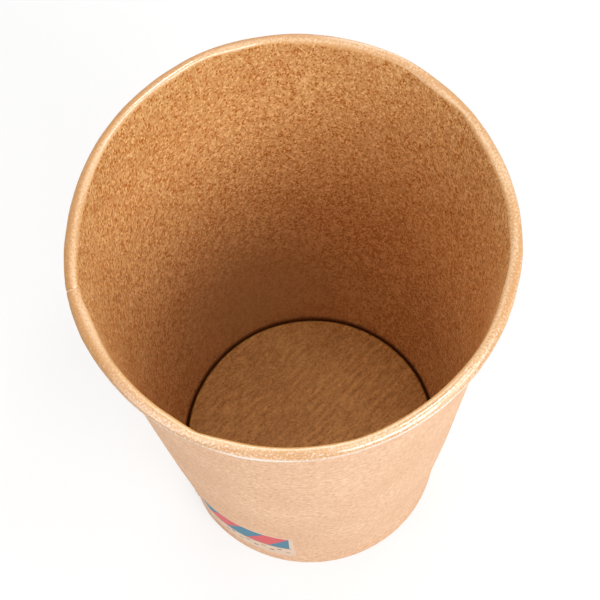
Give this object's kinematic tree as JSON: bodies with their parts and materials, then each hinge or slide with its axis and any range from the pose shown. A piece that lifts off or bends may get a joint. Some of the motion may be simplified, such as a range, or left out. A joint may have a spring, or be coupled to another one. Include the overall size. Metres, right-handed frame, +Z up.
{
  "type": "paper cup",
  "caption": "Tapered single-wall kraft paper cup with a rolled rim, a lapped side seam and a recessed, crimped-in base disc.",
  "frame": {"origin": "centre of the foot ring, on the surface that the cup stands on", "axes": "+Z up along the cup's axis, towards the mouth; -Y is the front; the side seam is on the -X side"},
  "size_m": [0.09, 0.09, 0.112],
  "materials": {
    "wall_board": "matte",
    "disc_board": "satin"
  },
  "bodies": {
    "root": {"side_wall": "wall_board", "base_disc": "disc_board"}
  },
  "joints": []
}
